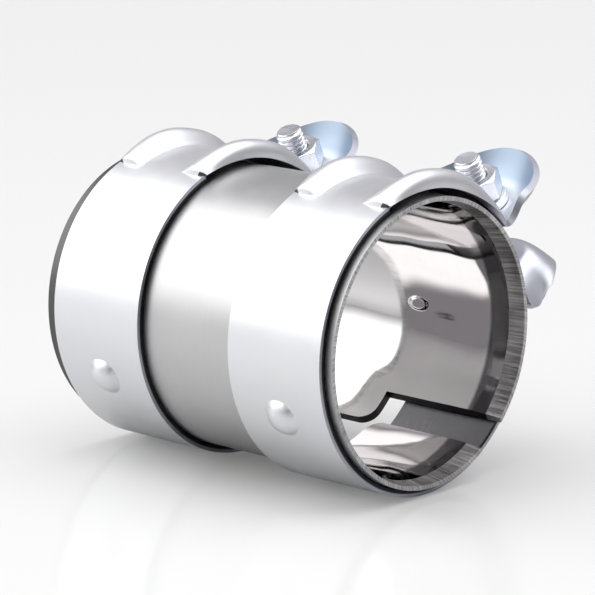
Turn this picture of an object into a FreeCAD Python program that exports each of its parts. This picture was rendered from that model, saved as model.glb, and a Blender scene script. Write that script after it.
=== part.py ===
import FreeCAD, Part
import Sketcher
import math
import os

from FreeCAD import Placement, Rotation, Vector

# Exhaust sleeve clamp: a slit steel sleeve that joins two pipe ends, drawn tight by two bolted bands.
# The sleeve's axis is Y, with the front end at -Y. +Z is up and the origin is the middle of the bore.
# Angles are clockwise from +Z, seen from the front.

doc = FreeCAD.newDocument("exhaust_sleeve_clamp")
ACROSS = Vector(0, 1, 0)

# The form of the scoop, as shares: how round its rim is, how much of the dish is left at the foot, and
# how much of the ridges' height comes at their abrupt start
RIM_ROUND_SHARE = 0.96
FOOT_DISH_SHARE = 0.5
START_SHARE = 0.36

# Driving dimensions, in millimetres and degrees
SIZES = {
    "bore_diameter": 55.5,
    "sleeve_wall": 1.8,
    "sleeve_length": 80,
    "lead_in_length": 3.6,
    "lead_in_depth": 0.9,
    "slit_angle": 148,
    "slit_width": 7.6,
    "slit_step_forward": 9.7,
    "slit_step_play": 1.2,
    "slit_corner_radius": 3.5,
    "band_play": 0.3,
    "band_sheet": 1.4,
    "band_width": 24.5,
    "front_margin": 1.8,
    "rear_margin": 3.7,
    "gap_angle": 65,
    "dome_angle": -113,
    "dome_diameter": 8,
    "dome_height": 1.8,
    "dome_play": 0.2,
    "stop_angle": 91,
    "stop_forward": 12.2,
    "stop_diameter": 5,
    "stop_height": 1.4,
    "stop_zone": 6,
    "stop_zone_relief": 0.3,
    "scoop_start_angle": 93,
    "scoop_rise_angle": 4,
    "ridge_full_angle": 24,
    "scoop_wall_offset": 6.2,
    "scoop_fillet": 1.7,
    "scoop_height": 19.9,
    "scoop_rim_ends": 1.5,
    "scoop_spread": 1.3,
    "scoop_dish": 5.6,
    "ridge_height": 3.4,
    "ridge_height_at_foot": 1.4,
    "ridge_bend": 2,
    "ridge_run": 5.6,
    "skirt_share": 0.85,
    "bolt_diameter": 6,
    "bolt_length": 27,
    "bolt_above_band": 6.15,
    "thread_play": 0.05,
    "hex_width": 10,
    "head_height": 4,
    "nut_height": 5,
    "washer_diameter": 12,
    "washer_thickness": 1.6,
    "washer_play": 0.2,
    "hole_play": 0.4,
    "seat_play": 0.12,
    "edge_break": 0.6,
}

sheet = doc.addObject("Spreadsheet::Sheet", "sizes")
for row, (name, value) in enumerate(SIZES.items(), start=1):
    sheet.set(f"A{row}", name)
    sheet.set(f"B{row}", str(value))
    sheet.setAlias(f"B{row}", name)
doc.recompute()


def size(name):
    """The value of one driving dimension."""
    return float(getattr(sheet, name))


def bind(feature, **expressions):
    """Ties properties of a feature to cells; a bare word in an expression is a cell's name."""
    for prop, text in expressions.items():
        for name in sorted(SIZES, key=len, reverse=True):
            text = text.replace(f"[{name}]", f"sizes.{name}")
        feature.setExpression(prop.replace("__", "."), text)


def origin_plane(body, role):
    """The body's own origin plane of that role, such as XY_Plane."""
    return next(plane for plane in body.Origin.OriginFeatures if plane.Role == role)


def make_body(name):
    body = doc.addObject("PartDesign::Body", name)
    body.Label = name
    return body


def make_sketch(body, name, role):
    sketch = body.newObject("Sketcher::SketchObject", name)
    sketch.AttachmentSupport = [(origin_plane(body, role), "")]
    sketch.MapMode = "FlatFace"
    return sketch


# Sizes that follow from the driving dimensions
bore_radius = size("bore_diameter") / 2
sleeve_radius = bore_radius + size("sleeve_wall")
band_inner_radius = sleeve_radius + size("band_play")
band_outer_radius = band_inner_radius + size("band_sheet")
half_length = size("sleeve_length") / 2
half_width = size("band_width") / 2
bolt_height = band_outer_radius + size("bolt_above_band")
band_middles = {
    "front": -half_length + size("front_margin") + half_width,
    "rear": half_length - size("rear_margin") - half_width,
}


def around_axis(angle):
    """The turn about the sleeve's axis that brings +Z to a clock angle."""
    return Rotation(ACROSS, angle)


def dome_radius():
    """The radius of the sphere whose cap has the dome's diameter and height."""
    half = size("dome_diameter") / 2
    high = size("dome_height")
    return (half * half + high * high) / (2 * high)


def sleeve():
    """The rolled tube, its stepped slit, the stop dimple and the bumps that key the two bands.

    The tube's wall is turned with a lead-in cone at each end, and its bore is in three stretches: one for
    each pipe, and the short one between them that holds the stop. It is made with the slit on top (+Z).
    """
    tube = make_body("sleeve_tube")
    profile = make_sketch(tube, "wall_profile", "XY_Plane")
    corners = [
        (bore_radius, -half_length + size("lead_in_length")),
        (bore_radius + size("lead_in_depth"), -half_length),
        (sleeve_radius, -half_length),
        (sleeve_radius, half_length),
        (bore_radius + size("lead_in_depth"), half_length),
        (bore_radius, half_length - size("lead_in_length")),
        (bore_radius, -size("stop_forward") + size("stop_zone") / 2),
        (bore_radius + size("stop_zone_relief"), -size("stop_forward") + size("stop_zone") / 2),
        (bore_radius + size("stop_zone_relief"), -size("stop_forward") - size("stop_zone") / 2),
        (bore_radius, -size("stop_forward") - size("stop_zone") / 2),
    ]
    for start, end in zip(corners, corners[1:] + corners[:1]):
        profile.addGeometry(Part.LineSegment(Vector(*start, 0), Vector(*end, 0)))
    count = len(corners)
    for index in range(count):
        profile.addConstraint(Sketcher.Constraint("Coincident", index, 2, (index + 1) % count, 1))
    across = [
        "[bore_diameter] / 2",
        "[bore_diameter] / 2 + [lead_in_depth]",
        "[bore_diameter] / 2 + [sleeve_wall]",
        "[bore_diameter] / 2 + [sleeve_wall]",
        "[bore_diameter] / 2 + [lead_in_depth]",
        "[bore_diameter] / 2",
        "[bore_diameter] / 2",
        "[bore_diameter] / 2 + [stop_zone_relief]",
        "[bore_diameter] / 2 + [stop_zone_relief]",
        "[bore_diameter] / 2",
    ]
    along = [
        "[sleeve_length] / 2 - [lead_in_length]",
        "[sleeve_length] / 2",
        "[sleeve_length] / 2",
        "[sleeve_length] / 2",
        "[sleeve_length] / 2",
        "[sleeve_length] / 2 - [lead_in_length]",
        "[stop_forward] - [stop_zone] / 2",
        "[stop_forward] - [stop_zone] / 2",
        "[stop_forward] + [stop_zone] / 2",
        "[stop_forward] + [stop_zone] / 2",
    ]
    for index, (x, y) in enumerate(corners):
        number = profile.addConstraint(Sketcher.Constraint("DistanceX", -1, 1, index, 1, x))
        bind(profile, **{f"Constraints[{number}]": across[index]})
        ends = (index, 1, -1, 1) if y < 0 else (-1, 1, index, 1)
        number = profile.addConstraint(Sketcher.Constraint("DistanceY", *ends, abs(y)))
        bind(profile, **{f"Constraints[{number}]": along[index]})
    turned = tube.newObject("PartDesign::Revolution", "tube_wall")
    turned.Profile = profile
    turned.ReferenceAxis = (profile, ["V_Axis"])
    turned.Angle = 360
    doc.recompute()

    slit = doc.addObject("Part::Feature", "slit_cutter")
    slit.Shape = slit_tool()
    opened = doc.addObject("Part::Cut", "slit_tube")
    opened.Base = tube
    opened.Tool = slit

    facing = size("slit_angle")
    fused = opened
    for place, middle in band_middles.items():
        keyed = key_bump(f"{place}_key", middle, size("dome_angle") - facing)
        joined = doc.addObject("Part::MultiFuse", f"sleeve_with_{place}_key")
        joined.Shapes = [fused, keyed[0]]
        fused = doc.addObject("Part::Cut", f"sleeve_{place}_key_open")
        fused.Base = joined
        fused.Tool = keyed[1]
    dimple = stop_dimple(size("stop_angle") - facing)
    dented = doc.addObject("Part::Cut", "sleeve_dented")
    dented.Base = fused
    dented.Tool = dimple[1]
    whole = doc.addObject("Part::MultiFuse", "sleeve")
    whole.Shapes = [dented, dimple[0]]
    whole.Label = "sleeve"
    whole.Placement = Placement(Vector(), around_axis(facing))
    return whole


def slit_tool():
    """A block with the slit's outline: two straight legs, offset sideways, joined at a step with round corners."""
    wide = size("slit_width")
    beyond = half_length + 1
    corner = size("slit_corner_radius")
    rear_of_step = -size("slit_step_forward")
    front_of_step = rear_of_step - size("slit_step_play")
    slant = corner * math.sqrt(0.5)

    def line(start, end):
        return Part.LineSegment(Vector(*start, 0), Vector(*end, 0))

    def arc(start, middle, end):
        return Part.Arc(Vector(*start, 0), Vector(*middle, 0), Vector(*end, 0))

    edges = [
        line((-wide, -beyond), (-wide, rear_of_step)),
        line((-wide, rear_of_step), (-corner, rear_of_step)),
        arc(
            (-corner, rear_of_step),
            (-corner + slant, rear_of_step + corner - slant),
            (0, rear_of_step + corner),
        ),
        line((0, rear_of_step + corner), (0, beyond)),
        line((0, beyond), (wide, beyond)),
        line((wide, beyond), (wide, front_of_step)),
        line((wide, front_of_step), (corner, front_of_step)),
        arc(
            (corner, front_of_step),
            (corner - slant, front_of_step - corner + slant),
            (0, front_of_step - corner),
        ),
        line((0, front_of_step - corner), (0, -beyond)),
        line((0, -beyond), (-wide, -beyond)),
    ]
    outline = Part.Face(Part.Wire([edge.toShape() for edge in edges]))
    return outline.extrude(Vector(0, 0, sleeve_radius + wide))


def ball(name, radius_text, radius, distance, middle, angle):
    """A sphere whose middle stands a distance off the axis, at a clock angle."""
    sphere = doc.addObject("Part::Sphere", name)
    bind(sphere, Radius=radius_text)
    sphere.Radius = radius
    spot = around_axis(angle).multVec(Vector(0, 0, distance))
    sphere.Placement = Placement(spot + Vector(0, middle, 0), Rotation())
    return sphere


DOME_BALL = "([dome_diameter] * [dome_diameter] / 4 + [dome_height] * [dome_height]) / (2 * [dome_height])"


def dome_middle():
    """How far the middle of the dome's spheres lies off the axis."""
    return band_outer_radius + size("dome_height") - dome_radius()


def outside_of(name, solid, radius):
    """What of a solid lies further off the axis than a radius."""
    core = doc.addObject("Part::Feature", f"{name}_core")
    start = Vector(0, -half_length * 2, 0)
    core.Shape = Part.makeCylinder(radius, half_length * 4, start, ACROSS)
    trimmed = doc.addObject("Part::Cut", name)
    trimmed.Base = solid
    trimmed.Tool = core
    return trimmed


def key_bump(name, middle, angle):
    """The bump pressed out of the sleeve into a band's dome, and the hollow inside it."""
    solid_radius = dome_radius() - size("band_sheet") - size("dome_play")
    hollow_radius = solid_radius - size("sleeve_wall")
    solid_text = f"{DOME_BALL} - [band_sheet] - [dome_play]"
    solid = ball(f"{name}_ball", solid_text, solid_radius, dome_middle(), middle, angle)
    hollow_text = f"{solid_text} - [sleeve_wall]"
    hollow = ball(f"{name}_hollow", hollow_text, hollow_radius, dome_middle(), middle, angle)
    return outside_of(f"{name}_bump", solid, bore_radius), hollow


def stop_dimple(angle):
    """The stop that a pipe end meets: pressed inward, so it is a bump in the bore and a hollow outside."""
    half = size("stop_diameter") / 2
    high = size("stop_height")
    radius = (half * half + high * high) / (2 * high)
    distance = bore_radius - high + radius
    text = "([stop_diameter] * [stop_diameter] / 4 + [stop_height] * [stop_height]) / (2 * [stop_height])"
    place = -size("stop_forward")
    solid = ball("stop_ball", text, radius, distance, place, angle)
    inner_text = f"{text} - [sleeve_wall] / 2"
    inner = ball("stop_hollow", inner_text, radius - size("sleeve_wall") / 2, distance, place, angle)
    shell = doc.addObject("Part::Cut", "stop_shell")
    shell.Base = solid
    shell.Tool = inner
    within = doc.addObject("Part::Feature", "stop_reach")
    start = Vector(0, -half_length * 2, 0)
    within.Shape = Part.makeCylinder(bore_radius + size("sleeve_wall") / 2, half_length * 4, start, ACROSS)
    pressed = doc.addObject("Part::Common", "stop_pressed")
    pressed.Base = shell
    pressed.Tool = within
    return pressed, inner


def ease(value, low, high):
    """0 up to low, 1 from high on, and a smooth rise between."""
    share = min(max((value - low) / (high - low), 0), 1)
    return share * share * (3 - 2 * share)


def ridge_share(before_gap):
    """How far the side ridges are raised, from 0 in the plain ring to 1, at an angle back from the gap.

    They start abruptly, grow slowly to their full height and sink again towards the wall.
    """
    start = size("scoop_start_angle")
    along = start - before_gap
    grown = START_SHARE * ease(along, 0, size("scoop_rise_angle"))
    grown += (1 - START_SHARE) * ease(along, 0, size("ridge_full_angle"))
    foot = size("ridge_height_at_foot") / size("ridge_height")
    return grown * (1 - (1 - foot) * ease(along, start * 0.45, start * 0.85))


def strip_section(share, raised):
    """The place across the band and the height of the sheet's middle, at a share from -1 to 1 of its width.

    Raised is 0 where the strip is flat. At 1 it rises from a flat valley to a ridge near each side, and
    outside the ridge's crest it turns down as a skirt.
    """
    side = abs(share)
    high = size("ridge_height")
    bend = size("ridge_bend")
    drop = size("skirt_share") * high
    crest = half_width - bend
    turned = math.acos(max(1 - drop / bend, 0))
    tail = max(drop - bend, 0)
    skirt = bend * turned + tail
    crest_share = crest / (crest + skirt)
    if side <= crest_share:
        across = crest * side / crest_share
        height = high * ease(across, crest - size("ridge_run"), crest)
    else:
        down = skirt * (side - crest_share) / (1 - crest_share)
        turn = min(down / bend, turned)
        across = crest + bend * math.sin(turn)
        height = high - bend * (1 - math.cos(turn)) - max(down - bend * turned, 0)
    across = half_width * side + (across - half_width * side) * raised
    return math.copysign(across, share), height * raised


def scoop_line(share):
    """Points of the sheet's middle from the ring to the rim, at a share from -1 to 1 of its width.

    The sheet runs along the ring, turns up through a fillet and stands as the wall that the bolt
    draws on. Around the bolt's seat the wall dishes back, so that its arched rim lies in one plane.
    """
    plain = band_inner_radius + size("band_sheet") / 2
    fillet = size("scoop_fillet")
    across, foot_rise = strip_section(share, ridge_share(0))
    side = abs(across) / half_width
    seat = size("washer_diameter") / 2 / half_width
    foot_dish = size("scoop_dish") * FOOT_DISH_SHARE * ease(side, seat, 2 - seat) * 2
    reach = size("scoop_wall_offset") + foot_dish + fillet
    foot_angle = math.degrees(math.asin(reach / (plain + foot_rise + fillet)))
    points = []

    start = size("scoop_start_angle")
    raised_at = start - size("scoop_rise_angle")
    rise_steps = 5
    channel_steps = 12
    angles = [start - size("scoop_rise_angle") * step / rise_steps for step in range(rise_steps)]
    angles += [raised_at + (foot_angle - raised_at) * step / channel_steps for step in range(channel_steps)]
    for angle in angles:
        place, height = strip_section(share, ridge_share(angle))
        place *= 1 + size("scoop_spread") / half_width * ease(-angle, -start * 0.4, -foot_angle)
        turn = math.radians(angle)
        radius = plain + height
        points.append(Vector(-radius * math.sin(turn), place, radius * math.cos(turn)))

    place = across * (1 + size("scoop_spread") / half_width)
    middle = (plain + foot_rise + fillet) * math.cos(math.radians(foot_angle))
    fillet_steps = 3
    for step in range(fillet_steps):
        turn = math.radians(foot_angle + (90 - foot_angle) * step / fillet_steps)
        points.append(Vector(fillet * math.sin(turn) - reach, place, middle - fillet * math.cos(turn)))

    crown = band_outer_radius + size("scoop_height")
    rim = crown - (size("scoop_height") - size("scoop_rim_ends")) * (1 - math.sqrt(1 - (RIM_ROUND_SHARE * side) ** 2))
    wall_steps = 7
    for step in range(wall_steps + 1):
        height = middle + (rim - middle) * step / wall_steps
        above_bolt = max(height - bolt_height, 0) / (crown - bolt_height)
        outward = math.hypot(side, above_bolt)
        dish = size("scoop_dish") * ease(outward, seat, 2 - seat) * 2
        deepening = FOOT_DISH_SHARE + (1 - FOOT_DISH_SHARE) * ease(height, middle, bolt_height)
        points.append(Vector(-size("scoop_wall_offset") - dish * deepening, place, height))
    return points


def scoop():
    """One pressed end of a band, as a solid sheet: the scoop before the gap, with its wall at the gap."""
    lines = 22
    middle = [scoop_line(2 * index / lines - 1) for index in range(lines + 1)]
    rows = len(middle[0])
    half_sheet = size("band_sheet") / 2
    inner = []
    outer = []
    for column in range(lines + 1):
        inner_line = []
        outer_line = []
        for row in range(rows):
            before = middle[max(column - 1, 0)][row]
            after = middle[min(column + 1, lines)][row]
            back = middle[column][max(row - 1, 0)]
            ahead = middle[column][min(row + 1, rows - 1)]
            normal = (ahead - back).cross(after - before)
            if row == 0:
                normal = Vector(middle[column][0].x, 0, middle[column][0].z)
            normal.normalize()
            inner_line.append(middle[column][row] - normal * half_sheet)
            outer_line.append(middle[column][row] + normal * half_sheet)
        inner.append(inner_line)
        outer.append(outer_line)

    def skin(grid):
        """A smooth surface whose control points are a grid, clamped at its four sides."""
        degrees = [min(3, len(points) - 1) for points in (grid, grid[0])]
        knots = [list(range(len(points) - degree + 1)) for points, degree in zip((grid, grid[0]), degrees)]
        counts = [[degree + 1] + [1] * (len(marks) - 2) + [degree + 1] for marks, degree in zip(knots, degrees)]
        surface = Part.BSplineSurface()
        surface.buildFromPolesMultsKnots(grid, *counts, *knots, False, False, *degrees)
        return surface.toShape()

    faces = [skin(inner), skin(outer)]
    for side in (0, -1):
        faces.append(skin([inner[side], outer[side]]))
        faces.append(skin([[line[side] for line in inner], [line[side] for line in outer]]))
    shell = Part.Shell(faces)
    shell.sewShape()
    solid = Part.Solid(shell)
    if solid.Volume < 0:
        solid.reverse()
    return solid


def band(place):
    """A clamping band: a ring of strip steel with a clinched dome, and a scoop at each end.

    It is made with the gap on top (+Z) and turned to its place.
    """
    name = f"{place}_band"
    middle = band_middles[place]
    start = size("scoop_start_angle")
    profile = Part.makePolygon(
        [
            Vector(band_inner_radius, -half_width, 0),
            Vector(band_outer_radius, -half_width, 0),
            Vector(band_outer_radius, half_width, 0),
            Vector(band_inner_radius, half_width, 0),
            Vector(band_inner_radius, -half_width, 0),
        ]
    )
    ring = Part.Face(profile).revolve(Vector(), ACROSS, 360 - 2 * start)
    ring.rotate(Vector(), ACROSS, start - 90)
    before_gap = scoop()
    after_gap = before_gap.mirror(Vector(), Vector(1, 0, 0))
    shape = ring.fuse([before_gap, after_gap])

    dome_spot = around_axis(size("dome_angle") - size("gap_angle")).multVec(Vector(0, 0, dome_middle()))
    core = Part.makeCylinder(band_inner_radius, band_outer_radius * 2, Vector(0, -band_outer_radius, 0), ACROSS)
    dome = Part.makeSphere(dome_radius(), dome_spot).cut(core)
    hollow = Part.makeSphere(dome_radius() - size("band_sheet"), dome_spot)
    shape = shape.fuse(dome).cut(hollow)

    hole_radius = size("bolt_diameter") / 2 + size("hole_play")
    reach = size("scoop_wall_offset") + size("scoop_dish") + size("band_sheet")
    hole_start = Vector(-reach, 0, bolt_height)
    shape = shape.cut(Part.makeCylinder(hole_radius, 2 * reach, hole_start, Vector(1, 0, 0)))

    part = doc.addObject("Part::Feature", name)
    part.Label = name
    part.Shape = shape.removeSplitter()
    part.Placement = Placement(Vector(0, middle, 0), around_axis(size("gap_angle")))
    return part


def beside_wall(place, side, offset):
    """The placement of a turned part on the bolt's line, a distance outside a scoop's wall.

    Its own +Z points away from the gap, side is -1 before the gap and +1 after it.
    """
    wall_face = size("scoop_wall_offset") + size("band_sheet") / 2
    local = Vector(side * (wall_face + offset), 0, bolt_height)
    turn = around_axis(size("gap_angle"))
    spot = turn.multVec(local) + Vector(0, band_middles[place], 0)
    return Placement(spot, turn.multiply(Rotation(ACROSS, 90 * side)))


def washer(place, side, name):
    """A flat washer between a scoop's wall and the nut or the bolt's head."""
    body = make_body(name)
    sketch = make_sketch(body, f"{name}_outline", "XY_Plane")
    radii = ["[washer_diameter] / 2", "[bolt_diameter] / 2 + [washer_play]"]
    starts = [size("washer_diameter") / 2, size("bolt_diameter") / 2 + size("washer_play")]
    for index, radius in enumerate(starts):
        sketch.addGeometry(Part.Circle(Vector(), Vector(0, 0, 1), radius))
        sketch.addConstraint(Sketcher.Constraint("Coincident", index, 3, -1, 1))
        number = sketch.addConstraint(Sketcher.Constraint("Radius", index, radius))
        bind(sketch, **{f"Constraints[{number}]": radii[index]})
    pad = body.newObject("PartDesign::Pad", f"{name}_pad")
    pad.Profile = sketch
    bind(pad, Length="[washer_thickness]")
    body.Placement = beside_wall(place, side, size("seat_play"))
    return body


def hexagon(sketch):
    """A regular hexagon about the sketch's origin, as wide across its flats as the spanner size."""
    corner = size("hex_width") / math.sqrt(3)
    spots = [
        Vector(corner * math.cos(math.radians(60 * k)), corner * math.sin(math.radians(60 * k)), 0)
        for k in range(6)
    ]
    for index, spot in enumerate(spots):
        sketch.addGeometry(Part.LineSegment(spot, spots[(index + 1) % 6]))
    for index in range(6):
        sketch.addConstraint(Sketcher.Constraint("Coincident", index, 2, (index + 1) % 6, 1))
    rim = sketch.addGeometry(Part.Circle(Vector(), Vector(0, 0, 1), corner), True)
    sketch.addConstraint(Sketcher.Constraint("Coincident", rim, 3, -1, 1))
    for index in range(6):
        sketch.addConstraint(Sketcher.Constraint("PointOnObject", index, 1, rim))
    for index in range(5):
        sketch.addConstraint(Sketcher.Constraint("Equal", index, index + 1))
    sketch.addConstraint(Sketcher.Constraint("PointOnObject", 0, 1, -1))
    number = sketch.addConstraint(Sketcher.Constraint("Radius", rim, corner))
    bind(sketch, **{f"Constraints[{number}]": "[hex_width] / sqrt(3)"})


def rounded_hex(name, height_text, height, both_ends):
    """A hexagonal prism whose corners are turned off by a cone at its outer end, or at both ends."""
    prism = make_body(f"{name}_hex")
    sketch = make_sketch(prism, f"{name}_hex_outline", "XY_Plane")
    hexagon(sketch)
    pad = prism.newObject("PartDesign::Pad", f"{name}_hex_pad")
    pad.Profile = sketch
    bind(pad, Length=height_text)
    doc.recompute()
    flat = size("hex_width") / 2
    corner = size("hex_width") / math.sqrt(3)
    cut_height = (corner - flat * 0.95) * math.tan(math.radians(30))
    low = cut_height if both_ends else 0
    turned = [
        Vector(0, 0, 0),
        Vector(flat * 0.95 if both_ends else corner, 0, 0),
        Vector(corner, 0, low),
        Vector(corner, 0, height - cut_height),
        Vector(flat * 0.95, 0, height),
        Vector(0, 0, height),
    ]
    outline = [spot for index, spot in enumerate(turned) if index == 0 or spot != turned[index - 1]]
    envelope = doc.addObject("Part::Feature", f"{name}_turning")
    face = Part.Face(Part.makePolygon(outline + outline[:1]))
    envelope.Shape = face.revolve(Vector(), Vector(0, 0, 1), 360)
    shaped = doc.addObject("Part::Common", f"{name}_turned_hex")
    shaped.Base = prism
    shaped.Tool = envelope
    return shaped


def nut(place):
    """The hexagon nut in the scoop before the gap, with a plain bore in place of its thread."""
    name = f"{place}_nut"
    blank = rounded_hex(name, "[nut_height]", size("nut_height"), True)
    bore = doc.addObject("Part::Cylinder", f"{name}_bore")
    bind(bore, Radius="[bolt_diameter] / 2 + [thread_play]", Height="[nut_height]")
    part = doc.addObject("Part::Cut", name)
    part.Label = name
    part.Base = blank
    part.Tool = bore
    part.Placement = beside_wall(place, -1, 2 * size("seat_play") + size("washer_thickness"))
    return part


def bolt(place):
    """The hexagon bolt: its head is in the scoop after the gap, and its end stands out of the nut."""
    name = f"{place}_bolt"
    head = rounded_hex(name, "[head_height]", size("head_height"), False)
    radius = size("bolt_diameter") / 2
    length = size("bolt_length")
    broken = size("edge_break")
    outline = [
        Vector(0, 0, 0),
        Vector(radius, 0, 0),
        Vector(radius, 0, -length + broken),
        Vector(radius - broken, 0, -length),
        Vector(0, 0, -length),
        Vector(0, 0, 0),
    ]
    shank = doc.addObject("Part::Feature", f"{name}_shank")
    shank.Shape = Part.Face(Part.makePolygon(outline)).revolve(Vector(), Vector(0, 0, 1), 360)
    part = doc.addObject("Part::MultiFuse", name)
    part.Label = name
    part.Shapes = [head, shank]
    part.Placement = beside_wall(place, 1, 2 * size("seat_play") + size("washer_thickness"))
    return part


parts = [sleeve()]
for end in ("front", "rear"):
    parts.append(band(end))
    parts.append(washer(end, -1, f"{end}_nut_washer"))
    parts.append(nut(end))
    parts.append(washer(end, 1, f"{end}_head_washer"))
    parts.append(bolt(end))
doc.recompute()

for item in doc.Objects:
    if "Invalid" in item.State or "Error" in item.State:
        raise RuntimeError(f"{item.Name} did not build: {item.State}")
for part in parts:
    if part.Shape.isNull() or not part.Shape.isValid() or len(part.Shape.Solids) != 1:
        raise RuntimeError(f"{part.Label} is not one valid solid")

os.makedirs("parts", exist_ok=True)
for part in parts:
    part.Shape.exportStep(f"parts/{part.Label}.step")
    box = part.Shape.BoundBox
    print(f"{part.Label}: {part.Shape.Volume:.1f} mm3, {box.XLength:.1f} x {box.YLength:.1f} x {box.ZLength:.1f}")
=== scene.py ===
import math

import bpy
import numpy as np
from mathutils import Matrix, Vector


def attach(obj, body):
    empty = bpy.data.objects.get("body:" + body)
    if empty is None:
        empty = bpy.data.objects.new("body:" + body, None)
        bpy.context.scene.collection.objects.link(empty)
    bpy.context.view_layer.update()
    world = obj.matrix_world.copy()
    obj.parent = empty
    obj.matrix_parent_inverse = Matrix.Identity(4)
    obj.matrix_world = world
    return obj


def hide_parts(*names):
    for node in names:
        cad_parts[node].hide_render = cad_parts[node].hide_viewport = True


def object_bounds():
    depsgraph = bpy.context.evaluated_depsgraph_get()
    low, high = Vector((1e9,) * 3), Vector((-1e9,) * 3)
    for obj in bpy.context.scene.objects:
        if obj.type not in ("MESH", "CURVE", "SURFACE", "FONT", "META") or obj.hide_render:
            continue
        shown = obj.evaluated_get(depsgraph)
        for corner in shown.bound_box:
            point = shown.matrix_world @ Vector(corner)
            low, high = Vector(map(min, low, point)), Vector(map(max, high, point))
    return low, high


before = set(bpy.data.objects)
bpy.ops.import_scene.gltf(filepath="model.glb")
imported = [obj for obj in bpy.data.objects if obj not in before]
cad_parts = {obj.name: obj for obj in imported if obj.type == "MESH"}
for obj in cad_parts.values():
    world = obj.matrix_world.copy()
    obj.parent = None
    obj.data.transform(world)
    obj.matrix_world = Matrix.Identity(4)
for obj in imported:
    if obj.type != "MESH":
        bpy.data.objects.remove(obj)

cad_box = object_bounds()

# Camera: a long lens at the front left, a little above the clamp, with the clamp in the picture's middle.
# Its lens, place and line of sight come from a fit to the sleeve's end circles in the photograph.

camera_data = bpy.data.cameras.new("camera")
camera_data.sensor_width = 36
camera_data.lens = 200.24
camera_data.clip_end = 20
camera = bpy.data.objects.new("camera", camera_data)
camera.location = (-0.48404, -0.45635, 0.15074)
line_of_sight = Vector((0.71280, 0.66720, -0.21624))
camera.rotation_euler = line_of_sight.to_track_quat("-Z", "Y").to_euler()
bpy.context.scene.collection.objects.link(camera)
bpy.context.scene.camera = camera
bpy.context.scene.view_settings.view_transform = "Standard"


# Studio: a pale glossy table top in a bright room, with soft lamps overhead and on the left. The table is
# whiter away from the clamp: round the clamp its plain white is cut back, a painted shadow. The metal
# mirrors the table a little darker, a painted shade on the metal's undersides. The room is dark behind the
# camera, and it has two bright patches, one high on the far left and one overhead.

TABLE_COLOUR = (0.82, 0.82, 0.815, 1)
SHADOW_STRETCH = (19, 14, 0)
WHITE_IN_PAINTED_SHADOW = 0.14
WHITE_AWAY = 0.4
MIRRORED_DARKER = 0.26
ROOM_COLOUR = (0.42, 0.41, 0.43, 1)
# A patch of the room: its direction, the angles where its colour is full and where it ends, and its colour.
ROOM_PATCHES = (
    ((-0.7, -0.85, 0.12), 30, 60, (0.03, 0.032, 0.036, 1)),
    ((-0.48, 0.62, 0.62), 25, 42, (2.2, 2.2, 2.2, 1)),
    ((0.3, -0.2, 1), 20, 42, (2.0, 2.0, 2.04, 1)),
)


def new_material(name):
    """A new material, its shader, a helper that adds a node with values and links, and the link call."""
    material = bpy.data.materials.new(name)
    material.use_nodes = True
    tree = material.node_tree

    def node(kind, values=None, **props):
        made = tree.nodes.new(kind)
        for key, value in props.items():
            setattr(made, key, value)
        for key, value in (values or {}).items():
            if isinstance(value, bpy.types.NodeSocket):
                tree.links.new(value, made.inputs[key])
            else:
                made.inputs[key].default_value = value
        return made

    return material, tree.nodes["Principled BSDF"], node, tree.links.new


def add_object(name, mesh, *materials):
    """Puts a mesh into the scene as an object with its materials."""
    made = bpy.data.objects.new(name, mesh)
    bpy.context.scene.collection.objects.link(made)
    for material in materials:
        mesh.materials.append(material)
    return made


table_top, shader, node, link = new_material("table_top")
shader.inputs["Base Color"].default_value = TABLE_COLOUR
shader.inputs["Roughness"].default_value = 0.12
shader.inputs["Specular IOR Level"].default_value = 0.4
rays = node("ShaderNodeLightPath").outputs
on_floor = node("ShaderNodeTexCoord").outputs["Object"]
in_shadow = node("ShaderNodeVectorMath", {0: on_floor, 1: SHADOW_STRETCH}, operation="MULTIPLY").outputs[0]
from_clamp = node("ShaderNodeVectorMath", {0: in_shadow}, operation="LENGTH").outputs["Value"]
# Painted shadow: the share of plain white in the table falls near the clamp, so the table is darker round
# it.
white_by_painted_shadow = node(
    "ShaderNodeMapRange",
    {"Value": from_clamp, "From Min": 0.2, "From Max": 1.3, "To Min": WHITE_IN_PAINTED_SHADOW, "To Max": WHITE_AWAY},
    interpolation_type="SMOOTHSTEP",
).outputs[0]
white_share = node("ShaderNodeMath", {0: rays["Is Camera Ray"], 1: white_by_painted_shadow}, operation="MULTIPLY").outputs[0]
white = node("ShaderNodeEmission", {"Color": (1, 1, 0.99, 1), "Strength": 1.03}).outputs[0]
seen = node("ShaderNodeMixShader", {0: white_share, 1: shader.outputs[0], 2: white}).outputs[0]
# Painted shade: where the metal mirrors the table, the table is dimmed by this share, darkening the metal's
# undersides.
mirrored = {0: rays["Is Glossy Ray"], 1: MIRRORED_DARKER}
dim_share = node("ShaderNodeMath", mirrored, operation="MULTIPLY").outputs[0]
dim = node("ShaderNodeEmission", {"Strength": 0.0}).outputs[0]
top = node("ShaderNodeMixShader", {0: dim_share, 1: seen, 2: dim}).outputs[0]
link(top, table_top.node_tree.nodes["Material Output"].inputs["Surface"])

floor_height = cad_box[0][2]
reach = 4
corners = [(-reach, -reach), (reach, -reach), (reach, reach), (-reach, reach)]
floor_mesh = bpy.data.meshes.new("floor")
floor_mesh.from_pydata([(x, y, floor_height) for x, y in corners], [], [(0, 1, 2, 3)])
floor = add_object("floor", floor_mesh, table_top)

world = bpy.data.worlds.new("studio")
bpy.context.scene.world = world
world.use_nodes = True
tree = world.node_tree


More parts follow.
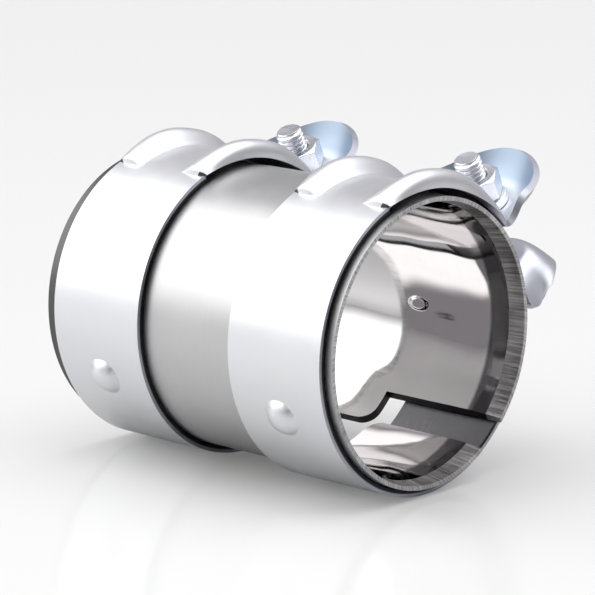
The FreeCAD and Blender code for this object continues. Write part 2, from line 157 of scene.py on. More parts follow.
def room_patch(direction, inner, outer):
    """1 in a round patch of the room about a direction, falling to 0; the angles are in degrees."""
    place = tree.nodes.new("ShaderNodeTexCoord")
    dot = tree.nodes.new("ShaderNodeVectorMath")
    dot.operation = "DOT_PRODUCT"
    tree.links.new(place.outputs["Generated"], dot.inputs[0])
    dot.inputs[1].default_value = Vector(direction).normalized()
    ramp = tree.nodes.new("ShaderNodeMapRange")
    ramp.interpolation_type = "SMOOTHSTEP"
    ramp.inputs["From Min"].default_value = math.cos(math.radians(outer))
    ramp.inputs["From Max"].default_value = math.cos(math.radians(inner))
    tree.links.new(dot.outputs["Value"], ramp.inputs["Value"])
    return ramp.outputs["Result"]


def over(base, colour, patch):
    """Lays a colour over the room's colour, as much as the patch says."""
    mix = tree.nodes.new("ShaderNodeMix")
    mix.data_type = "RGBA"
    tree.links.new(patch, mix.inputs["Factor"])
    if isinstance(base, tuple):
        mix.inputs["A"].default_value = base
    else:
        tree.links.new(base, mix.inputs["A"])
    mix.inputs["B"].default_value = colour
    return mix.outputs["Result"]


room = ROOM_COLOUR
for direction, inner, outer, colour in ROOM_PATCHES:
    room = over(room, colour, room_patch(direction, inner, outer))
tree.links.new(room, tree.nodes["Background"].inputs["Color"])

for name, direction, strength, spread in (
    ("lamp_over", (-0.3, 0.1, 1), 0.45, 50),
    ("lamp_left", (-1, 0.1, 0.5), 0.2, 40),
):
    lamp_data = bpy.data.lights.new(name, "SUN")
    lamp_data.energy = strength
    lamp_data.angle = math.radians(spread)
    lamp = bpy.data.objects.new(name, lamp_data)
    lamp.rotation_euler = Vector(direction).to_track_quat("Z", "Y").to_euler()
    bpy.context.scene.collection.objects.link(lamp)


# Sleeve: a tube rolled from bright stainless sheet, with a slit that steps sideways near its front third.
# Its outside is brushed and its bore bright. Each end flares to a lead-in with a turned face, a stop is
# pressed into the bore, and two bumps pressed outwards key the bands.

# Sizes are in millimetres and degrees. Angles go from straight up towards +X, clockwise from the front.
BORE = 27.75
WALL = 1.8
OUTSIDE = BORE + WALL
MID_WALL = BORE + WALL / 2
HALF_LENGTH = 40.0
TURNED_FACE = 3.6
FLARE_RUN = 9.0
FLARE_DEPTH = 0.9
SLIT_ANGLE = 148
SLIT_WIDTH = 7.6
CORNER = 3.5
FRONT_LEG_END = -9.7
REAR_LEG_START = -10.9
STOP_ANGLE = 91
STOP_PLACE = -12.2
STOP_NARROWED = 1.35
STOP_STRETCHED = 0.75
STOP_FLAT = 1.4
STOP_FOOT = 2.1
STOP_DEPTH = 0.4
DOME_ANGLE = -113
KEY_BALL = 3.74
KEY_SUNK = 1.84
BAND_MIDDLES = {"front": -25.95, "rear": 24.05}
SHARP_ANGLE = math.radians(38)


def sheet_mesh(name, outer, inner, keep, wraps, place, skins):
    """The mesh of a sheet from matching grids of points on its two skins, in millimetres.

    keep says which cells are there, place holds each point's coordinates on the flat sheet, and skins
    gives each cell's material on the outer skin and on the inner one. The cut edge is material 2.
    """
    rows, columns = outer.shape[:2]
    count = rows * columns
    number = np.arange(count).reshape(rows, columns)
    last = columns if wraps else columns - 1
    faces = []
    spots = []
    kinds = []
    edges = {}
    for row in range(rows - 1):
        for column in range(last):
            if not keep[row, column]:
                continue
            following = (column + 1) % columns
            face = [
                number[row, column], number[row, following],
                number[row + 1, following], number[row + 1, column],
            ]
            where = [
                place[row][column], place[row][column + 1],
                place[row + 1][column + 1], place[row + 1][column],
            ]
            faces.append(face)
            spots.append(where)
            kinds.append(skins[0][row, column])
            faces.append([index + count for index in reversed(face)])
            spots.append(where[::-1])
            kinds.append(skins[1][row, column])
            for side in range(4):
                edges[face[side], face[(side + 1) % 4]] = (where[side], where[(side + 1) % 4])
    for (start, end), (spot, next_spot) in edges.items():
        if (end, start) not in edges:
            faces.append([end, start, start + count, end + count])
            spots.append([next_spot, spot, spot, next_spot])
            kinds.append(2)
    points = np.concatenate([outer.reshape(-1, 3), inner.reshape(-1, 3)]) * 0.001
    used, faces = np.unique(np.array(faces), return_inverse=True)
    mesh = bpy.data.meshes.new(name)
    mesh.from_pydata(points[used].tolist(), [], faces.reshape(-1, 4).tolist())
    mesh.polygons.foreach_set("material_index", kinds)
    mesh.polygons.foreach_set("use_smooth", [True] * len(kinds))
    mesh.uv_layers.new(name="sheet").data.foreach_set("uv", np.array(spots).ravel() * 0.001)
    mesh.set_sharp_from_angle(angle=SHARP_ANGLE)
    mesh.update()
    return mesh


def broken_edges(piece, width):
    """Rounds a piece's sharp edges, as deburring does; the width is in millimetres."""
    bevel = piece.modifiers.new("broken_edges", "BEVEL")
    bevel.width = width * 0.001
    bevel.segments = 2
    bevel.limit_method = "ANGLE"
    bevel.angle_limit = SHARP_ANGLE
    bevel.harden_normals = True


def lines_between(marks, steps, dense):
    """Sorted lines through all marks, at most steps apart, and closer inside the dense stretches.

    A dense stretch is its low end, its high end and its own step.
    """
    wanted = list(np.arange(marks[0], marks[-1], steps))
    for low, high, close in dense:
        wanted += list(np.arange(low, high, close))
    kept = list(marks)
    for value in sorted(wanted):
        near = [step for low, high, step in dense if low <= value <= high]
        room_needed = 0.45 * min(near + [steps])
        if min(abs(value - other) for other in kept) > room_needed:
            kept.append(value)
    return np.array(sorted(kept))


def pressed(distance, ball, depth):
    """The height of a round pressing at a distance from its middle.

    It is the cap of a ball that is sunk by a depth into the sheet, with a soft foot round it.
    """
    softness = 0.03
    foot_reach = 3
    cap = np.sqrt(np.maximum(ball**2 - distance**2, 0)) - depth - 3 * np.maximum(distance - ball, 0)
    return (cap + np.sqrt(cap * cap + softness)) / 2 * (distance < ball + foot_reach)


def ease(value, low, high):
    """0 up to low, 1 from high on, and a smooth rise between."""
    share = np.clip((value - low) / (high - low), 0, 1)
    return share * share * (3 - 2 * share)


near_slit = np.concatenate(
    [
        np.linspace(-SLIT_WIDTH, -CORNER, 5),
        np.linspace(-CORNER, CORNER, 17)[1:-1],
        np.linspace(CORNER, SLIT_WIDTH, 5),
    ]
)
opening = math.degrees(math.asin(SLIT_WIDTH / MID_WALL))
stop_at = STOP_ANGLE - SLIT_ANGLE + 360
key_at = DOME_ANGLE - SLIT_ANGLE + 360
round_lines = lines_between(
    [opening, 360 - opening],
    2,
    [(key_at - 9, key_at + 9, 0.9), (stop_at - 5, stop_at + 5, 0.35)],
)[1:-1]
round_shares = (round_lines - opening) / (360 - 2 * opening)
front_corners = REAR_LEG_START - CORNER
rear_corners = FRONT_LEG_END + CORNER
end_marks = np.array([HALF_LENGTH - 4, HALF_LENGTH - TURNED_FACE, HALF_LENGTH - 0.6, HALF_LENGTH])
flares = [(-HALF_LENGTH, FLARE_RUN - HALF_LENGTH, 0.9), (HALF_LENGTH - FLARE_RUN, HALF_LENGTH, 0.9)]
slit_corners_and_stop = [(front_corners, rear_corners, 0.35), (-16, front_corners, 0.35)]
keys = [(-30, -22, 0.5), (20, 28, 0.5)]
along_lines = lines_between(
    [*-end_marks[::-1], front_corners, REAR_LEG_START, FRONT_LEG_END, rear_corners, *end_marks],
    2,
    [*flares, *slit_corners_and_stop, *keys],
)
slit_columns = len(near_slit)
columns = slit_columns + len(round_shares)


def in_round_corner(share, other_share):
    """How far a point is from a slit corner's middle, where a square of cells is bent to a quarter disc."""
    return CORNER * share * np.sqrt(1 - other_share * other_share / 2)


def sleeve_skin(radius, is_bore):
    """The points of the sleeve's outside or of its bore, row by row along the axis."""
    points = np.zeros((len(along_lines), columns, 3))
    thinner = WALL if is_bore else 0
    for row, y in enumerate(along_lines):
        across = near_slit.copy()
        along = np.full(slit_columns, y)
        if FRONT_LEG_END <= y <= rear_corners:
            block = (near_slit >= -CORNER) & (near_slit <= 0)
            inwards = (near_slit[block] + CORNER) / CORNER
            forwards = (rear_corners - y) / CORNER
            across[block] = -CORNER + in_round_corner(inwards, forwards)
            along[block] = rear_corners - in_round_corner(forwards, inwards)
        if front_corners <= y <= REAR_LEG_START:
            block = (near_slit >= 0) & (near_slit <= CORNER)
            inwards = (CORNER - near_slit[block]) / CORNER
            backwards = (y - front_corners) / CORNER
            across[block] = CORNER - in_round_corner(inwards, backwards)
            along[block] = front_corners + in_round_corner(backwards, inwards)
        start = math.degrees(math.asin(SLIT_WIDTH / radius))
        angles = np.concatenate(
            [np.degrees(np.arcsin(across / radius)), start + round_shares * (360 - 2 * start)]
        )
        along = np.concatenate([along, np.full(len(round_shares), y)])
        wall = np.full(columns, float(radius))
        if is_bore:
            wall += FLARE_DEPTH * (max(abs(y) - HALF_LENGTH + FLARE_RUN, 0) / FLARE_RUN) ** 2
        stop_round = np.radians(angles - stop_at) * radius * STOP_NARROWED
        stop_along = (along - STOP_PLACE) * STOP_STRETCHED
        wall -= STOP_DEPTH * (1 - ease(np.hypot(stop_round, stop_along), STOP_FLAT, STOP_FOOT))
        for middle in BAND_MIDDLES.values():
            from_key = np.hypot(np.radians(angles - key_at) * radius, along - middle)
            wall += pressed(from_key, KEY_BALL - thinner, KEY_SUNK - thinner)
        turn = np.radians(angles + SLIT_ANGLE)
        points[row] = np.stack([wall * np.sin(turn), along, wall * np.cos(turn)], axis=1)
    return points


sleeve_outer = sleeve_skin(OUTSIDE, False)
sleeve_inner = sleeve_skin(BORE, True)
across_middles = (near_slit[:-1] + near_slit[1:]) / 2
along_middles = (along_lines[:-1] + along_lines[1:]) / 2
keep = np.ones((len(along_middles), columns), bool)
front_leg = (across_middles < 0) & (along_middles[:, None] < FRONT_LEG_END)
rear_leg = (across_middles > 0) & (along_middles[:, None] > REAR_LEG_START)
keep[:, : slit_columns - 1] = ~(front_leg | rear_leg)
millimetres_a_degree = 0.5
past_slit = opening * millimetres_a_degree + round_shares * 2 * math.pi * MID_WALL + SLIT_WIDTH
on_sheet = np.concatenate([near_slit, past_slit, [near_slit[0] + 360 * millimetres_a_degree]])
sleeve_place = [[(s, y) for s in on_sheet] for y in along_lines]
outside_kind = np.zeros(keep.shape, int)
bore_kind = np.ones(keep.shape, int)
bore_kind[np.abs(along_middles) > HALF_LENGTH - TURNED_FACE] = 2
sleeve_mesh = sheet_mesh(
    "sleeve_skin", sleeve_outer, sleeve_inner, keep, True, sleeve_place, (outside_kind, bore_kind)
)
# The slit's cut faces take material 3, painted nearly black as the shade in the slit.
for face in sleeve_mesh.polygons:
    if face.material_index == 2 and abs(face.center.y) * 1000 < HALF_LENGTH - TURNED_FACE:
        face.material_index = 3


def steel_look(
    name, colour, tint, roughness, spread, grain_scale, grain_depth, stretch, wave_depth=0.0, grain_span=0.5
):
    """Bare or plated steel: a cloudy colour, brushed grain along the sheet, and slow waves from rolling.

    The colour goes to the tint, and the roughness up by its spread, with the clouds and the grain. Depths
    are in metres. A smaller grain_span draws harder streaks.
    """
    material, shader, node, link = new_material(name)
    shader.inputs["Metallic"].default_value = 1
    place = node("ShaderNodeTexCoord").outputs["Object"]
    on_sheet = node("ShaderNodeUVMap", uv_map="sheet").outputs[0]
    cloud_values = {"Vector": place, "Scale": 90, "Detail": 5, "Roughness": 0.6}
    clouds = node("ShaderNodeTexNoise", cloud_values).outputs[0]
    cloud_share = node("ShaderNodeMapRange", {"Value": clouds, "From Min": 0.3, "From Max": 0.7}).outputs[0]
    stretched = node("ShaderNodeMapping", {"Vector": on_sheet, "Scale": stretch}).outputs[0]
    grain = node("ShaderNodeTexNoise", {"Vector": stretched, "Scale": grain_scale, "Detail": 3}).outputs[0]
    grain_values = {"Value": grain, "From Min": 0.5 - grain_span, "From Max": 0.5 + grain_span}
    grain = node("ShaderNodeMapRange", grain_values).outputs[0]
    mottle = node("ShaderNodeMix", {"Factor": 0.5, "A": cloud_share, "B": grain}).outputs[0]
    base = node("ShaderNodeMix", data_type="RGBA")
    base.inputs["A"].default_value = (*colour, 1)
    base.inputs["B"].default_value = (*tint, 1)
    link(mottle, base.inputs["Factor"])
    link(base.outputs["Result"], shader.inputs["Base Color"])
    rough = node("ShaderNodeMapRange", {"Value": mottle, "From Min": 0.3, "From Max": 0.7})
    rough.inputs["To Min"].default_value = roughness
    rough.inputs["To Max"].default_value = roughness + spread
    link(rough.outputs[0], shader.inputs["Roughness"])
    fine = node("ShaderNodeBump", {"Height": grain, "Strength": 0.35, "Distance": grain_depth}).outputs[0]
    if wave_depth:
        waves = node("ShaderNodeTexNoise", {"Vector": place, "Scale": 45, "Detail": 1}).outputs[0]
        fine = node("ShaderNodeBump", {"Height": waves, "Distance": wave_depth, "Normal": fine}).outputs[0]
    link(fine, shader.inputs["Normal"])
    return material


def recoloured(material, coordinate, axis, start, full, colour):
    """Turns a steel's colour into another one between two places along an axis, in metres.

    The coordinate is "Object", or "UV" for the place on the flat sheet. The axis "round" is the distance
    from the sleeve's own axis.
    """
    tree = material.node_tree
    base = tree.nodes["Principled BSDF"].inputs["Base Color"]
    place_node = tree.nodes["UV Map" if coordinate == "UV" else "Texture Coordinate"]
    apart = tree.nodes.new("ShaderNodeSeparateXYZ")
    tree.links.new(place_node.outputs[coordinate], apart.inputs[0])
    share = tree.nodes.new("ShaderNodeMapRange")
    share.inputs["From Min"].default_value = start
    share.inputs["From Max"].default_value = full
    if axis == "round":
        flat = tree.nodes.new("ShaderNodeCombineXYZ")
        tree.links.new(apart.outputs["X"], flat.inputs["X"])
        tree.links.new(apart.outputs["Z"], flat.inputs["Y"])
        length = tree.nodes.new("ShaderNodeVectorMath")
        length.operation = "LENGTH"
        tree.links.new(flat.outputs[0], length.inputs[0])
        tree.links.new(length.outputs["Value"], share.inputs["Value"])
    else:
        tree.links.new(apart.outputs[axis], share.inputs["Value"])
    mix = tree.nodes.new("ShaderNodeMix")
    mix.data_type = "RGBA"
    tree.links.new(share.outputs["Result"], mix.inputs["Factor"])
    tree.links.new(base.links[0].from_socket, mix.inputs["A"])
    mix.inputs["B"].default_value = colour
    tree.links.new(mix.outputs["Result"], base)


# Painted shade: the bore is painted dark in its front flare, and the outside in its last millimetres at the
# rear.
sleeve_outside = steel_look(
    "brushed_stainless", (0.57, 0.57, 0.575), (0.64, 0.635, 0.635), roughness=0.36, spread=0.06,
    grain_scale=1400, grain_depth=0.00003, stretch=(0.03, 1, 1),
)
sleeve_bore = steel_look(
    "bright_stainless", (0.65, 0.635, 0.635), (0.70, 0.685, 0.685), roughness=0.04, spread=0.03,
    grain_scale=700, grain_depth=0.000004, stretch=(0.05, 1, 1), wave_depth=0.0006,
)
recoloured(sleeve_bore, "Object", "Y", -0.0314, -0.0322, (0.17, 0.165, 0.17, 1))
recoloured(sleeve_outside, "Object", "Y", 0.0366, 0.0374, (0.12, 0.12, 0.12, 1))
# The turned faces' dark base colour is painted shade, lowering what they reflect; the hard streaks are the
# metal's own turning marks.
sleeve_cut_painted_shade = steel_look(
    "cut_stainless", (0.24, 0.24, 0.24), (0.95, 0.94, 0.93), roughness=0.3, spread=0.2,
    grain_scale=2400, grain_depth=0.0001, stretch=(1, 0.05, 1), grain_span=0.12,
)
# Painted shade: the slit's cut faces are nearly black, standing in for the shadow in the slit.
slit_cut_painted_black = steel_look(
    "slit_faces_painted_shade", (0.02, 0.02, 0.02), (0.12, 0.12, 0.12), roughness=0.3, spread=0.15,
    grain_scale=1500, grain_depth=0.0001, stretch=(1, 0.1, 1),
)
sleeve = add_object("slit_sleeve", sleeve_mesh, sleeve_outside, sleeve_bore, sleeve_cut_painted_shade, slit_cut_painted_black)
broken_edges(sleeve, width=0.14)
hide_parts("sleeve")
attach(sleeve, "root")


# Bands: each is a strip of bright zinc plated steel, rolled to a ring. Near the gap its sides are pressed
# up into ridges and its ends turned out into scoop-shaped ears, whose walls the bolt draws together. A dome
# clinched opposite the gap keys the band to the sleeve.

# The ridges' first steep step takes RISE degrees and RISE_SHARE of their height, and they sink again between
# two shares of the way from their start to the gap. The skirts' and edges' shares are of the ridge's height
# and of half the band's width.
BAND_PLAY = 0.3
BAND_INNER = OUTSIDE + BAND_PLAY
SHEET = 1.4
BAND_OUTER = BAND_INNER + SHEET
PLAIN = BAND_INNER + SHEET / 2
HALF_WIDTH = 12.25
FLAT_HALF_WIDTH = 14
GAP_ANGLE = 65
RISE = 1.0
RISE_SHARE = 0.4
RISE_ROWS = 14
ROWS_A_DEGREE = 0.62
SINK_START = 0.45
SINK_END = 0.85
SKIRT_SHARE = 0.85
WALL_OFFSET = 6.2
WALL_ROWS = 32
FILLET = 1.7
FILLET_ROWS = 8
RIDGE_BEND = 2.0
RIDGE_RUN = 4.4
BOLT_HEIGHT = 37.4
HOLE_RADIUS = 3.4
DRILL_REACH = 14.0
SEAT_RADIUS = 6
SEAT = SEAT_RADIUS / HALF_WIDTH
DOME_PLAY = 0.2
DOME_BALL = KEY_BALL + DOME_PLAY + SHEET / 2
DOME_SUNK = KEY_SUNK + PLAIN - OUTSIDE
EDGE_SHARE = 0.86
EAR_INSIDE_FROM = -14
EAR_INSIDE_ABOVE = 1.6

# An ear's ridges start at an angle before the gap, are full after another one, and have a height there and
# at the ear's foot. Its wall has a height, a rim that is round and lower at its ends, and a scoop: how much
# wider it spreads, how deep it is dished, which share of that its foot has, and how far it bellies out.
NUT_EAR = {
    "start": 87.0, "full": 28.0, "ridge": 3.4, "foot_ridge": 1.4, "height": 19.9, "rim_ends": 1.5,
    "round": 0.96, "spread": 1.3, "dish": 5.6, "foot_dish": 0.5, "belly": 0.0,
}
HEAD_EAR = {
    "start": 60.0, "full": 30.0, "ridge": 0.5, "foot_ridge": 0.5, "height": 16.8, "rim_ends": 0.5,
    "round": 0.98, "spread": 0.4, "dish": 7.2, "foot_dish": 0.85, "belly": 0.62,
}


def ridge_share(before_gap, ear):
    """How far the ridges are raised at an angle back from the gap."""
    along = ear["start"] - before_gap
    left = 1 - np.clip(along / ear["full"], 0, 1)
    grown = RISE_SHARE * ease(along, 0, RISE) + (1 - RISE_SHARE) * (1 - left * left)
    sink = 1 - ear["foot_ridge"] / ear["ridge"]
    return grown * (1 - sink * ease(along, ear["start"] * SINK_START, ear["start"] * SINK_END))


def strip_section(share, raised, high):
    """The sheet's middle across the band, as places and heights: a valley, two ridges and two skirts."""
    crest = HALF_WIDTH - RIDGE_BEND
    drop = SKIRT_SHARE * high
    most_turn = math.acos(max(1 - drop / RIDGE_BEND, 0))
    skirt = RIDGE_BEND * most_turn + max(drop - RIDGE_BEND, 0)
    crest_share = crest / (crest + skirt)
    side = np.abs(share)
    inside = side <= crest_share
    on_crest = crest * side / crest_share
    down = skirt * (side - crest_share) / (1 - crest_share)
    turn = np.clip(down / RIDGE_BEND, 0, most_turn)
    across = np.where(inside, on_crest, crest + RIDGE_BEND * np.sin(turn))
    rise = high * ease(on_crest, crest - RIDGE_RUN, crest)
    fall = high - RIDGE_BEND * (1 - np.cos(turn)) - np.maximum(down - RIDGE_BEND * most_turn, 0)
    across = HALF_WIDTH * side + (across - HALF_WIDTH * side) * raised
    return np.copysign(across, share), np.where(inside, rise, fall) * raised


def scoop_share(from_bolt):
    """How deep an ear is dished, from 0 on its flat seat to 1 at its rim."""
    return ease(from_bolt, SEAT, 2 - SEAT) * 2


def half_band(shares, ear):
    """Points of the sheet's middle, from opposite the gap to the rim of the ear before it.

    They are in the gap's frame, which has the gap straight up. Its axes go across the gap, along the sleeve
    and up.
    """
    start = ear["start"]
    across, foot_rise = strip_section(shares, ridge_share(0, ear), ear["ridge"])
    side = np.abs(across) / HALF_WIDTH
    wide = 1 + ear["spread"] / HALF_WIDTH
    out = WALL_OFFSET + ear["dish"] * ear["foot_dish"] * scoop_share(side) + FILLET
    foot = np.degrees(np.arcsin(out / (PLAIN + foot_rise + FILLET)))
    rows = []
    plain_angles = lines_between([start, 180], 1.3, [(169, 180, 0.7)])[::-1]
    plain = [np.full(len(shares), angle) for angle in plain_angles]
    rise = [np.full(len(shares), start - RISE * step / RISE_ROWS) for step in range(1, RISE_ROWS)]
    steps = RISE_ROWS + int(start * ROWS_A_DEGREE)
    channel = [start - RISE + (foot - start + RISE) * step / steps for step in range(steps)]
    for angle in plain + rise + channel:
        place, height = strip_section(shares, ridge_share(angle, ear), ear["ridge"])
        place = place * (1 + (wide - 1) * ease(-angle, -start * 0.4 - foot * 0.6, -foot))
        turn = np.radians(angle)
        radius = PLAIN + height
        rows.append(np.stack([-radius * np.sin(turn), place, radius * np.cos(turn)], axis=1))
    place = across * wide
    middle = (PLAIN + foot_rise + FILLET) * np.cos(np.radians(foot))
    for step in range(FILLET_ROWS):
        turn = np.radians(foot + (90 - foot) * step / FILLET_ROWS)
        rows.append(np.stack([FILLET * np.sin(turn) - out, place, middle - FILLET * np.cos(turn)], axis=1))
    crown = BAND_OUTER + ear["height"]
    rim = crown - (ear["height"] - ear["rim_ends"]) * (1 - np.sqrt(1 - (ear["round"] * side) ** 2))
    for step in range(WALL_ROWS + 1):
        height = middle + (rim - middle) * step / WALL_ROWS
        above_bolt = np.maximum(height - BOLT_HEIGHT, 0) / (crown - BOLT_HEIGHT)
        dish = ear["dish"] * scoop_share(np.hypot(side, above_bolt))
        deepening = ear["foot_dish"] + (1 - ear["foot_dish"]) * ease(height, middle, BOLT_HEIGHT)
        belly = math.sin(math.pi * step / WALL_ROWS) * (1 - step / WALL_ROWS)
        deepening = deepening + ear["belly"] * belly
        rows.append(np.stack([-WALL_OFFSET - dish * deepening, place, height], axis=1))
    return np.array(rows)


def from_gap(points, middle):
    """Turns points of the gap's frame to their place on the clamp."""
    turn = math.radians(GAP_ANGLE)
    across, along, up = points[..., 0], points[..., 1], points[..., 2]
    x = across * math.cos(turn) + up * math.sin(turn)
    z = up * math.cos(turn) - across * math.sin(turn)
    return np.stack([x, along + middle, z], -1)


half_shares = np.concatenate(
    [
        np.linspace(0, 0.32, 9)[:-1],
        np.linspace(0.32, 0.72, 14)[:-1],
        np.linspace(0.72, 1, 12),
    ]
)
band_shares = np.concatenate([-half_shares[:0:-1], half_shares])
before_gap = half_band(band_shares, NUT_EAR)
after_gap = half_band(band_shares, HEAD_EAR) * np.array([-1, 1, 1])
strip = np.concatenate([before_gap[::-1], after_gap[1:]])

turned_to = np.degrees(np.arctan2(strip[..., 0], strip[..., 2]))
radii = np.hypot(strip[..., 0], strip[..., 2])
dome_turn = (turned_to - DOME_ANGLE + GAP_ANGLE + 180) % 360 - 180
from_dome = np.hypot(np.radians(dome_turn) * PLAIN, strip[..., 1])
scale = (radii + pressed(from_dome, DOME_BALL, DOME_SUNK) * (radii < PLAIN + 0.1)) / radii
strip = strip * np.stack([scale, np.ones_like(scale), scale], axis=-1)

along_strip = np.gradient(strip, axis=0)
across_strip = np.gradient(strip, axis=1)
outward = np.cross(across_strip, along_strip)
outward /= np.linalg.norm(outward, axis=-1, keepdims=True)
middle_line = strip[:, len(band_shares) // 2]
run = np.concatenate([[0], np.cumsum(np.linalg.norm(np.diff(middle_line, axis=0), axis=1))])
band_place = [[(s, share * FLAT_HALF_WIDTH) for share in band_shares] for s in run]
cells = np.ones((strip.shape[0] - 1, strip.shape[1]), bool)
inner_kinds = np.ones(cells.shape, int)
# Painted shade: the band's inside round the sleeve takes material 3, painted dark; the ears' insides keep
# the plain inside zinc.
inner_kinds[(turned_to[:-1] < EAR_INSIDE_FROM) | (radii[:-1] < PLAIN + EAR_INSIDE_ABOVE)] = 3
outer_kinds = np.zeros(cells.shape, int)
# Painted shade: a thin mark on the band's edges where the ridges start takes material 4, painted nearly
# black as the step's shadow.
from_rise = np.abs(np.abs(turned_to[:-1]) - NUT_EAR["start"] + RISE / 2)
outer_kinds[(from_rise < RISE / 2) & (turned_to[:-1] < 0) & (np.abs(band_shares) > EDGE_SHARE)] = 4
kinds = (outer_kinds, inner_kinds)

# The near ear's crown is blue-grey. The sheared edge is painted nearly black beside the sleeve, as painted
# shade of the gap between band and sleeve.
zinc_outside = steel_look(
    "bright_zinc", (0.82, 0.83, 0.86), (0.87, 0.875, 0.89), roughness=0.36, spread=0.06,
    grain_scale=1400, grain_depth=0.00002, stretch=(0.03, 1, 1),
)
zinc_inside = steel_look(
    "bright_zinc_inside", (0.66, 0.69, 0.76), (0.76, 0.78, 0.83), roughness=0.28, spread=0.06,
    grain_scale=1400, grain_depth=0.00002, stretch=(0.03, 1, 1),
)
zinc_cut_and_painted_shade = steel_look(
    "zinc_sheared_edge_and_painted_shade", (0.44, 0.45, 0.52), (0.62, 0.63, 0.68), roughness=0.3, spread=0.15,
    grain_scale=2200, grain_depth=0.00012, stretch=(1, 0.1, 1),
)
# Painted shade: the band's inside round the sleeve is painted dark, as the shade between band and sleeve.
band_inside_painted_shade = steel_look(
    "zinc_inside_painted_shade", (0.20, 0.20, 0.21), (0.30, 0.30, 0.31), roughness=0.2, spread=0.08,
    grain_scale=1400, grain_depth=0.00002, stretch=(0.03, 1, 1),
)
# Painted shade: nearly black, the shadow line at the ridges' first step.
ridge_start_painted_shade = steel_look(
    "zinc_ridge_start_painted_shade", (0.04, 0.04, 0.045), (0.16, 0.16, 0.17), roughness=0.25, spread=0.1,
    grain_scale=1400, grain_depth=0.00002, stretch=(1, 1, 1),
)
recoloured(zinc_outside, "UV", "X", 0.011, 0.006, (0.36, 0.44, 0.54, 1))
recoloured(zinc_cut_and_painted_shade, "Object", "round", 0.0307, 0.0304, (0.03, 0.03, 0.033, 1))


def drilled(piece, start, end, radius):
    """Bores a round hole between two points through a piece, in metres."""
    start, end = Vector(start), Vector(end)
    spin = (end - start).to_track_quat("Z", "Y")
    count = 64
    turns = [2 * math.pi * k / count for k in range(count)]
    circle = [spin @ Vector((radius * math.cos(turn), radius * math.sin(turn), 0)) for turn in turns]
    points = [at + spoke for at in (start, end) for spoke in circle]
    faces = [(k, (k + 1) % count, count + (k + 1) % count, count + k) for k in range(count)]
    faces += [tuple(reversed(range(count))), tuple(range(count, 2 * count))]
    drill_mesh = bpy.data.meshes.new("drill")
    drill_mesh.from_pydata(points, [], faces)
    drill = add_object("drill", drill_mesh)
    cut = piece.modifiers.new("hole", "BOOLEAN")
    cut.object = drill
    cut.solver = "EXACT"
    result = bpy.data.meshes.new_from_object(piece.evaluated_get(bpy.context.evaluated_depsgraph_get()))
    piece.modifiers.clear()
    piece.data = result
    bpy.data.objects.remove(drill)


for place, middle in BAND_MIDDLES.items():
    skin_out = from_gap(strip + outward * SHEET / 2, middle)
    skin_in = from_gap(strip - outward * SHEET / 2, middle)
    band_mesh = sheet_mesh(f"{place}_strip", skin_out, skin_in, cells, False, band_place, kinds)
    band_finishes = (zinc_outside, zinc_inside, zinc_cut_and_painted_shade, band_inside_painted_shade, ridge_start_painted_shade)
    band = add_object(f"{place}_clamping_band", band_mesh, *band_finishes)
    bolt_line = np.array([[-DRILL_REACH, 0, BOLT_HEIGHT], [DRILL_REACH, 0, BOLT_HEIGHT]])
    drilled(band, *(from_gap(bolt_line, middle) * 0.001), HOLE_RADIUS * 0.001)
    broken_edges(band, width=0.16)
    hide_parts(f"{place}_band")
    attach(band, "root")


# Washers: flat stamped steel washers, bright zinc plated, one under each nut and one under each head.
# The punch leaves a rounded edge on one side and a sharp one on the other.

WASHER_THICK = 1.6
WASHER_SECTION = [
    (3.2, 0.1), (3.28, 0.02), (3.45, 0), (5.9, 0), (6, 0.1), (6, 1.1), (5.93, 1.35), (5.8, 1.5),
    (5.55, WASHER_THICK), (3.5, WASHER_THICK), (3.3, 1.5), (3.2, 1.3),
]
SEAT_GAP = 0.12
RING_TURN = np.arange(96) * 2 * math.pi / 96

fastener_zinc = steel_look(
    "fastener_zinc", (0.66, 0.68, 0.72), (0.78, 0.79, 0.82), roughness=0.22, spread=0.16,
    grain_scale=1500, grain_depth=0.00006, stretch=(1, 1, 1),
)


def turned_mesh(name, rings, closed):
    """A mesh from rings of points in millimetres, capped at both ends or closed on itself round a hole."""
    count = len(rings[0])
    faces = []
    total = len(rings)
    for ring in range(total if closed else total - 1):
        following = (ring + 1) % total
        for k in range(count):
            ahead = (k + 1) % count
            near = ring * count
            far = following * count
            faces.append((near + k, near + ahead, far + ahead, far + k))
    if not closed:
        faces.append(tuple(reversed(range(count))))
        faces.append(tuple((total - 1) * count + k for k in range(count)))
    points = np.concatenate(rings) * 0.001
    mesh = bpy.data.meshes.new(name)
    mesh.from_pydata(points.tolist(), [], faces)
    mesh.polygons.foreach_set("use_smooth", [True] * len(mesh.polygons))
    around = np.degrees(np.arctan2(points[:, 1], points[:, 0])) / 360 * 0.03
    outwards = points[:, 2] + np.hypot(points[:, 0], points[:, 1])
    corner_points = np.array([loop.vertex_index for loop in mesh.loops])
    on_sheet = np.stack([around, outwards], axis=1)[corner_points]
    mesh.uv_layers.new(name="sheet").data.foreach_set("uv", on_sheet.ravel())
    mesh.set_sharp_from_angle(angle=math.radians(30))
    mesh.update()
    return mesh


def ring_at(radius, height):
    """A ring of points about a piece's own axis; both sizes are numbers, or one value for each point."""
    level = np.zeros(len(RING_TURN)) + height
    return np.stack([radius * np.cos(RING_TURN), radius * np.sin(RING_TURN), level], axis=1)


def on_bolt_line(points, place, side, offset):
    """Brings a ring to its bolt's line, facing away from the gap on its side: -1 before it, 1 after it."""
    out = side * (WALL_OFFSET + SHEET / 2 + offset + points[:, 2])
    in_gap_frame = np.stack([out, -points[:, 1] * side, points[:, 0] + BOLT_HEIGHT], axis=1)
    return from_gap(in_gap_frame, BAND_MIDDLES[place])


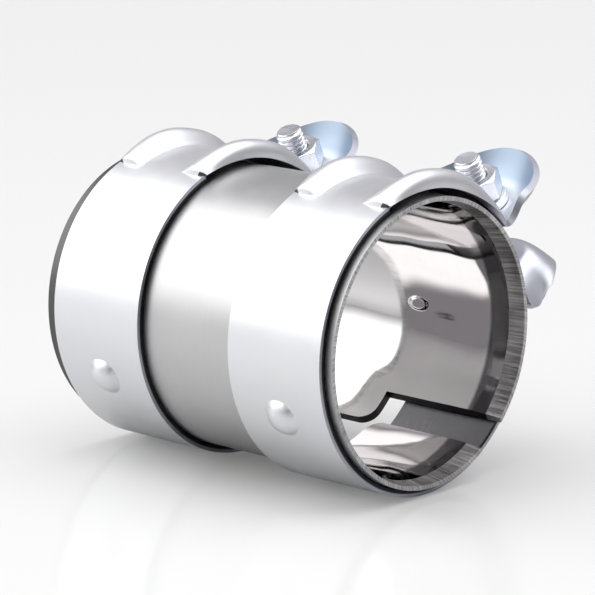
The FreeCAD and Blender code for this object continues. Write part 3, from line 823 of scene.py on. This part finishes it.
def fastener(name, rings, closed, place, side, offset, body, node_name, width=0.0):
    """Makes a piece on a bolt's line at its offset from the ear, in place of a node, riding on a body."""
    placed = [on_bolt_line(ring, place, side, offset) for ring in rings]
    piece = add_object(name, turned_mesh(name, placed, closed), fastener_zinc)
    if width:
        broken_edges(piece, width)
    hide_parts(node_name)
    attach(piece, body)


for place in BAND_MIDDLES:
    for kind, side, body in (("nut_washer", -1, "root"), ("head_washer", 1, f"{place}_head_washer")):
        rings = [ring_at(radius, height) for radius, height in WASHER_SECTION]
        fastener(f"{place}_{kind}_ring", rings, True, place, side, SEAT_GAP, body, f"{place}_{kind}")


# Nuts: hexagon nuts, bright zinc plated, with their corners turned off on both faces and the thread
# countersunk. Each sits in the ear before the gap.

NUT_HEIGHT = 5.0
NUT_BORE = 3.05
COUNTERSINK = 3.45
COUNTERSINK_DEPTH = 0.4
HEX_FLAT = 5.0
HEX_EDGE = HEX_FLAT / np.cos((RING_TURN + math.pi / 6) % (math.pi / 3) - math.pi / 6)
TURNED_TO = 4.75
SLOPE = math.tan(math.radians(30))
ON_WASHER = 2 * SEAT_GAP + WASHER_THICK


def hex_side(height, both_ends):
    """Rings up a hexagon's side, with its corners turned off by a cone at its top or at both ends."""
    rings = []
    cone = [TURNED_TO + (HEX_EDGE - TURNED_TO) * share for share in (0, 0.5, 1)]
    if both_ends:
        rings += [ring_at(radius, (radius - TURNED_TO) * SLOPE) for radius in cone]
    else:
        rings.append(ring_at(HEX_EDGE, 0.0))
    rings += [ring_at(radius, height - (radius - TURNED_TO) * SLOPE) for radius in reversed(cone)]
    return rings


for place in BAND_MIDDLES:
    rings = [ring_at(COUNTERSINK, 0), *hex_side(NUT_HEIGHT, True), ring_at(COUNTERSINK, NUT_HEIGHT)]
    rings += [ring_at(NUT_BORE, NUT_HEIGHT - COUNTERSINK_DEPTH), ring_at(NUT_BORE, COUNTERSINK_DEPTH)]
    fastener(f"{place}_hex_nut", rings, True, place, -1, ON_WASHER, "root", f"{place}_nut", width=0.07)


# Bolts: zinc plated hexagon bolts with a rolled thread of one millimetre pitch and a chamfered end. Each
# head sits in the ear after the gap, and the end stands out of the nut.

# Heights are counted from the head's seat, and those of the shank are below it.
HEAD_HEIGHT = 4.0
BOLT_LENGTH = 27
SHANK = 2.97
THREAD_DEPTH = 0.6
HALF_CREST = 0.07
FLANK = 0.34
RUN_OUT = 3
FULL_THREAD = 4.2
END_RADIUS = 2.35
END_SLOPE = 0.9


def thread_radius(height):
    """The radius of a rolled thread with rounded roots, which runs out near the head and at the end."""
    phase = (height - RING_TURN / (2 * math.pi)) % 1
    flank = np.clip((np.abs(phase - 0.5) - HALF_CREST) / FLANK, 0, 1)
    depth = THREAD_DEPTH * ease(flank, -0.15, 1.1) * ease(-height, RUN_OUT, FULL_THREAD)
    chamfer = END_RADIUS + (height + BOLT_LENGTH) * END_SLOPE
    return np.minimum(SHANK - depth, chamfer)


for place in BAND_MIDDLES:
    rings = [ring_at(1.2, 0.05 - BOLT_LENGTH), ring_at(2.2, 0.01 - BOLT_LENGTH)]
    rings += [ring_at(thread_radius(height), height) for height in np.arange(-BOLT_LENGTH, -2.8, 0.1)]
    rings += [ring_at(SHANK, -0.3), ring_at(3.2, 0), *hex_side(HEAD_HEIGHT, False)]
    rings += [ring_at(4.3, HEAD_HEIGHT), ring_at(2.5, HEAD_HEIGHT - 0.06)]
    body = f"{place}_bolt"
    fastener(f"{place}_hex_bolt", rings, False, place, 1, ON_WASHER, body, f"{place}_bolt", width=0.07)
